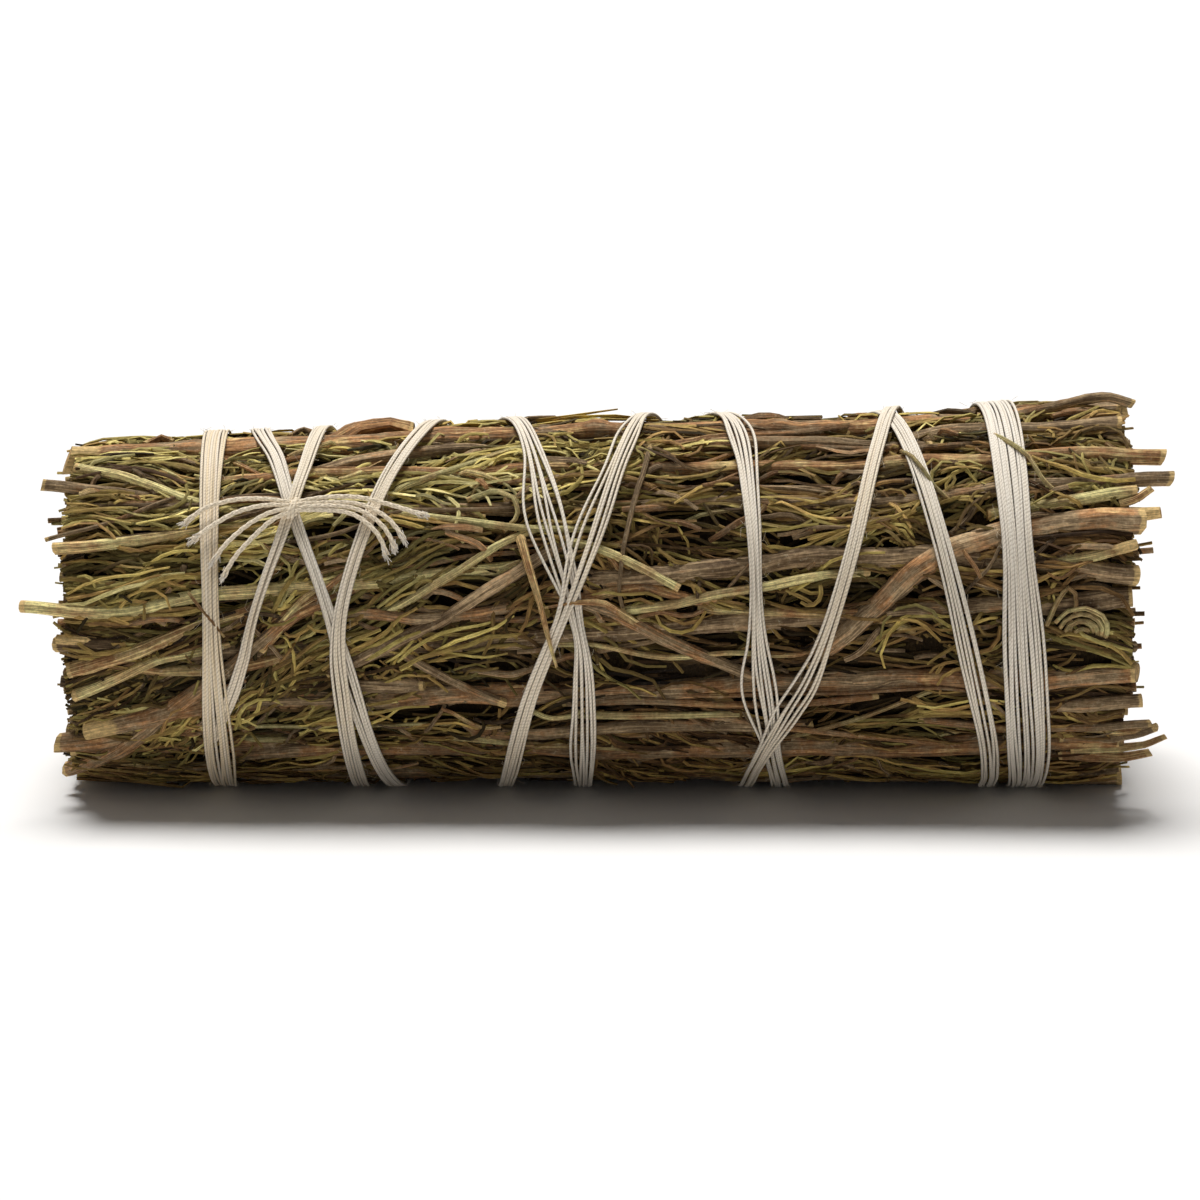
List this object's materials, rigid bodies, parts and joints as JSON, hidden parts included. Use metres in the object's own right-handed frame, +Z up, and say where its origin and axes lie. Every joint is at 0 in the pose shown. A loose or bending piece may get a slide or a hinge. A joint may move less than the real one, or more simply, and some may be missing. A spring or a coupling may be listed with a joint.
{
  "type": "smudge stick",
  "caption": "Smudge stick: a bundle of dried woody stems and thin curled leaves, laced with off-white cotton thread and tied in a knot with loose frayed ends.",
  "frame": {"origin": "centre of the bounding box's footprint, on the surface that the bundle lies on", "axes": "+X runs along the bundle to its flared end, +Z is up, and the knot faces the front, -Y"},
  "size_m": [0.1064, 0.037, 0.0364],
  "materials": {
    "bark": "dry fissured bark, grey-brown to red-brown, pale where peeled",
    "foliage": "dried thread-like leaves, matt olive to brown",
    "inner_bark": "dry bark with tan cut ends",
    "inner_foliage": "packed dried leaves, dark olive",
    "thread": "twisted off-white cotton with a fine fuzz"
  },
  "bodies": {
    "root": {"woody_stem_01": "bark", "woody_stem_02": "bark", "woody_stem_03": "bark", "woody_stem_04": "bark", "woody_stem_05": "bark", "woody_stem_06": "bark", "woody_stem_07": "bark", "woody_stem_08": "bark", "woody_stem_09": "bark", "woody_stem_10": "bark", "woody_stem_11": "bark", "woody_stem_12": "bark", "woody_stem_13": "bark", "woody_stem_14": "bark", "woody_stem_15": "bark", "leafy_sprig_01": "foliage", "leafy_sprig_02": "foliage", "leafy_sprig_03": "foliage", "leafy_sprig_04": "foliage", "leafy_sprig_05": "foliage", "leafy_sprig_06": "foliage", "leafy_sprig_07": "foliage", "leafy_sprig_08": "foliage", "leafy_sprig_09": "foliage", "leafy_sprig_10": "foliage", "leafy_sprig_11": "foliage", "leafy_sprig_12": "foliage", "leafy_sprig_13": "foliage", "leafy_sprig_14": "foliage", "inner_stem_01": "inner_bark", "inner_stem_02": "inner_bark", "inner_stem_03": "inner_bark", "inner_stem_04": "inner_bark", "inner_stem_05": "inner_bark", "inner_stem_06": "inner_bark", "inner_stem_07": "inner_bark", "inner_stem_08": "inner_bark", "inner_stem_09": "inner_bark", "inner_stem_10": "inner_bark", "inner_stem_11": "inner_bark", "inner_stem_12": "inner_bark", "inner_stem_13": "inner_bark", "inner_sprig_01": "inner_foliage", "inner_sprig_02": "inner_foliage", "inner_sprig_03": "inner_foliage", "inner_sprig_04": "inner_foliage", "inner_sprig_05": "inner_foliage", "inner_sprig_06": "inner_foliage", "inner_sprig_07": "inner_foliage", "inner_sprig_08": "inner_foliage", "inner_sprig_09": "inner_foliage", "inner_sprig_10": "inner_foliage", "thread_lacing_out": "thread", "thread_lacing_back": "thread", "thread_band_left": "thread", "thread_band_right": "thread", "thread_knot": "thread"}
  },
  "joints": []
}
